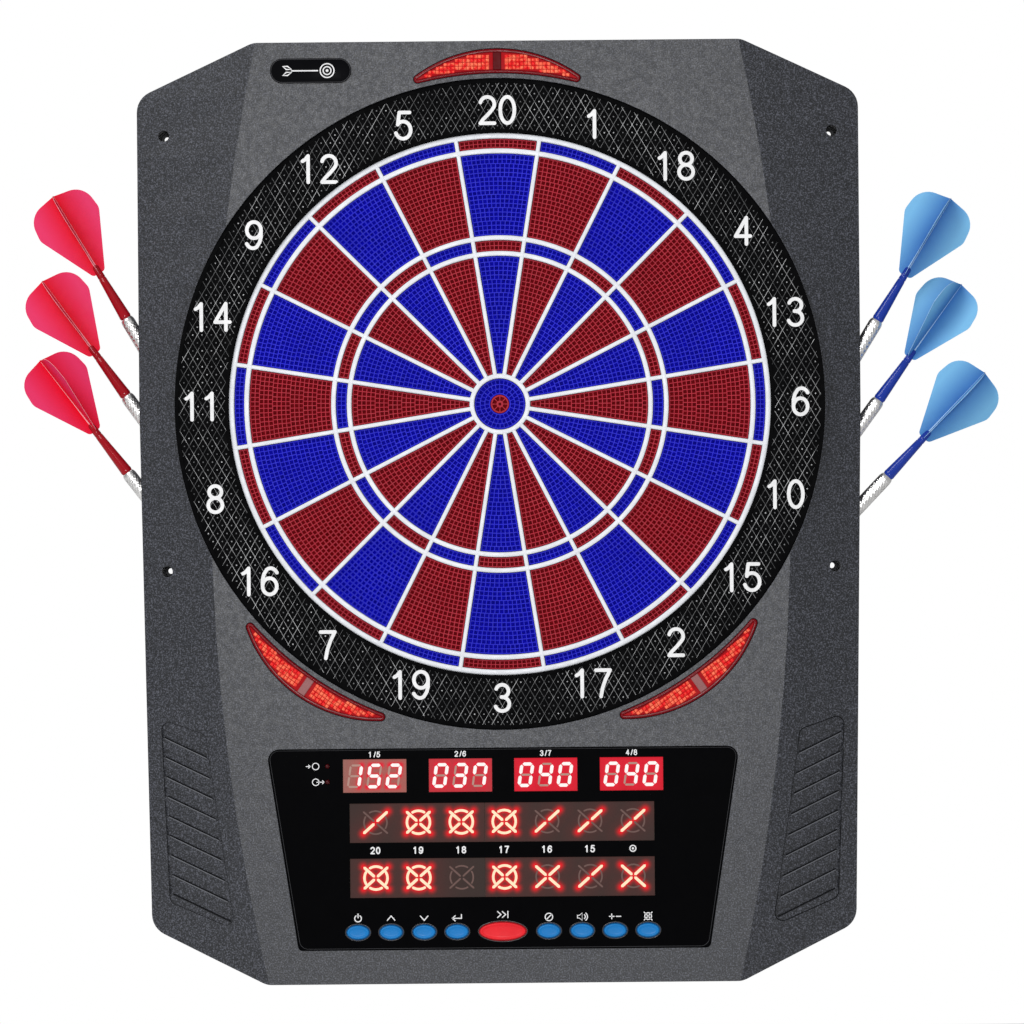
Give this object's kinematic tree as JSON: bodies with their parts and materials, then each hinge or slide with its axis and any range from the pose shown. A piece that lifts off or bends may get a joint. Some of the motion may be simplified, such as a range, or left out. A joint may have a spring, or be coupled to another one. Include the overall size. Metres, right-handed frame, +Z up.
{
  "type": "electronic dartboard",
  "caption": "Wall-hung electronic dartboard: round segmented target in a number ring, LED scoring panel with push buttons, corner screw holes, and soft-tip darts stored in both sides.",
  "frame": {"origin": "on the wall plane, straight behind the middle of the bullseye", "axes": "+Y into the wall, so the front faces -Y; +X to the viewer's right; +Z up, towards the number 20"},
  "size_m": [0.6224, 0.0452, 0.5982],
  "materials": {
    "case_plastic": "pebbled, charcoal",
    "ring_plastic": "gloss black with a moulded diamond lattice",
    "spider_plastic": "white, light gloss",
    "panel_plastic": "polished black",
    "badge_plastic": "polished black",
    "lens_plastic": "clear red with prisms",
    "board_laminate": "green solder mask",
    "display_plastic": "tinted display window",
    "cricket_plastic": "dark tinted display window",
    "led_plastic": "clear red lens",
    "silicone": "moulded silicone",
    "cable_plastic": "flat film cable",
    "speaker_metal": "pressed steel frame",
    "jack_plastic": "moulded black",
    "mat_rubber": "smooth sheet",
    "film_plastic": "printed polyester film",
    "backing_plastic": "moulded grey",
    "holder_plastic": "moulded black",
    "screw_steel": "zinc plated",
    "button_blue_plastic": "gloss blue",
    "button_red_plastic": "gloss red",
    "target_red": "satin red",
    "target_blue": "satin blue",
    "dart_steel": "knurled, nickel plated",
    "flight_red": "thin tinted film",
    "flight_blue": "thin tinted film"
  },
  "bodies": {
    "case": {"front_frame": "case_plastic", "rear_cover": "case_plastic", "catch_ring": "ring_plastic", "spider": "spider_plastic", "display_panel": "panel_plastic", "badge": "badge_plastic", "light_lens_top": "lens_plastic", "light_lens_left": "lens_plastic", "light_lens_right": "lens_plastic", "light_boards": "board_laminate", "main_board": "board_laminate", "score_displays": "display_plastic", "cricket_display_upper": "cricket_plastic", "cricket_display_lower": "cricket_plastic", "indicator_leds": "led_plastic", "keypad_mat": "silicone", "ribbon_cable": "cable_plastic", "speaker": "speaker_metal", "power_jack": "jack_plastic", "rubber_mat": "mat_rubber", "switch_matrix": "film_plastic", "backing_plate": "backing_plastic", "dart_holders": "holder_plastic", "case_screws": "screw_steel", "board_screws": "screw_steel", "doubles_red": "target_red", "outer_singles_red": "target_red", "triples_red": "target_red", "inner_singles_red": "target_red", "doubles_blue": "target_blue", "outer_singles_blue": "target_blue", "triples_blue": "target_blue", "inner_singles_blue": "target_blue"},
    "button_on_off": {"button_on_off": "button_blue_plastic"},
    "button_up": {"button_up": "button_blue_plastic"},
    "button_down": {"button_down": "button_blue_plastic"},
    "button_enter": {"button_enter": "button_blue_plastic"},
    "button_next": {"button_next": "button_red_plastic"},
    "button_miss": {"button_miss": "button_blue_plastic"},
    "button_sound": {"button_sound": "button_blue_plastic"},
    "button_handicap": {"button_handicap": "button_blue_plastic"},
    "button_cricket": {"button_cricket": "button_blue_plastic"},
    "bullseye": {"bullseye": "target_red"},
    "outer_bull": {"outer_bull": "target_blue"},
    "double_20": {"double_20": "target_red"},
    "outer_single_20": {"outer_single_20": "target_blue"},
    "triple_20": {"triple_20": "target_red"},
    "inner_single_20": {"inner_single_20": "target_blue"},
    "dart_1": {"dart_1": "dart_steel", "flight_1": "flight_red"},
    "dart_2": {"dart_2": "dart_steel", "flight_2": "flight_red"},
    "dart_3": {"dart_3": "dart_steel", "flight_3": "flight_red"},
    "dart_4": {"dart_4": "dart_steel", "flight_4": "flight_blue"},
    "dart_5": {"dart_5": "dart_steel", "flight_5": "flight_blue"},
    "dart_6": {"dart_6": "dart_steel", "flight_6": "flight_blue"}
  },
  "joints": [
    {"name": "button_on_off_press", "type": "slide", "parent": "case", "child": "button_on_off", "axis": [0, 1, 0], "range_m": [0, 0.0012], "stiffness_N_per_m": 500},
    {"name": "button_up_press", "type": "slide", "parent": "case", "child": "button_up", "axis": [0, 1, 0], "range_m": [0, 0.0012], "stiffness_N_per_m": 500},
    {"name": "button_down_press", "type": "slide", "parent": "case", "child": "button_down", "axis": [0, 1, 0], "range_m": [0, 0.0012], "stiffness_N_per_m": 500},
    {"name": "button_enter_press", "type": "slide", "parent": "case", "child": "button_enter", "axis": [0, 1, 0], "range_m": [0, 0.0012], "stiffness_N_per_m": 500},
    {"name": "button_next_press", "type": "slide", "parent": "case", "child": "button_next", "axis": [0, 1, 0], "range_m": [0, 0.0012], "stiffness_N_per_m": 500},
    {"name": "button_miss_press", "type": "slide", "parent": "case", "child": "button_miss", "axis": [0, 1, 0], "range_m": [0, 0.0012], "stiffness_N_per_m": 500},
    {"name": "button_sound_press", "type": "slide", "parent": "case", "child": "button_sound", "axis": [0, 1, 0], "range_m": [0, 0.0012], "stiffness_N_per_m": 500},
    {"name": "button_handicap_press", "type": "slide", "parent": "case", "child": "button_handicap", "axis": [0, 1, 0], "range_m": [0, 0.0012], "stiffness_N_per_m": 500},
    {"name": "button_cricket_press", "type": "slide", "parent": "case", "child": "button_cricket", "axis": [0, 1, 0], "range_m": [0, 0.0012], "stiffness_N_per_m": 500},
    {"name": "bullseye_press", "type": "slide", "parent": "case", "child": "bullseye", "axis": [0, 1, 0], "range_m": [0, 0.0008], "stiffness_N_per_m": 1500},
    {"name": "outer_bull_press", "type": "slide", "parent": "case", "child": "outer_bull", "axis": [0, 1, 0], "range_m": [0, 0.0008], "stiffness_N_per_m": 1500},
    {"name": "double_20_press", "type": "slide", "parent": "case", "child": "double_20", "axis": [0, 1, 0], "range_m": [0, 0.0008], "stiffness_N_per_m": 1500},
    {"name": "outer_single_20_press", "type": "slide", "parent": "case", "child": "outer_single_20", "axis": [0, 1, 0], "range_m": [0, 0.0008], "stiffness_N_per_m": 1500},
    {"name": "triple_20_press", "type": "slide", "parent": "case", "child": "triple_20", "axis": [0, 1, 0], "range_m": [0, 0.0008], "stiffness_N_per_m": 1500},
    {"name": "inner_single_20_press", "type": "slide", "parent": "case", "child": "inner_single_20", "axis": [0, 1, 0], "range_m": [0, 0.0008], "stiffness_N_per_m": 1500},
    {"name": "dart_1_pull", "type": "slide", "parent": "case", "child": "dart_1", "axis": [-0.5075, 0, 0.8616], "range_m": [0, 0.06]},
    {"name": "dart_2_pull", "type": "slide", "parent": "case", "child": "dart_2", "axis": [-0.5835, 0, 0.8121], "range_m": [0, 0.06]},
    {"name": "dart_3_pull", "type": "slide", "parent": "case", "child": "dart_3", "axis": [-0.6088, 0, 0.7934], "range_m": [0, 0.06]},
    {"name": "dart_4_pull", "type": "slide", "parent": "case", "child": "dart_4", "axis": [0.5255, 0, 0.8508], "range_m": [0, 0.06]},
    {"name": "dart_5_pull", "type": "slide", "parent": "case", "child": "dart_5", "axis": [0.5906, 0, 0.807], "range_m": [0, 0.06]},
    {"name": "dart_6_pull", "type": "slide", "parent": "case", "child": "dart_6", "axis": [0.6909, 0, 0.723], "range_m": [0, 0.06]}
  ]
}
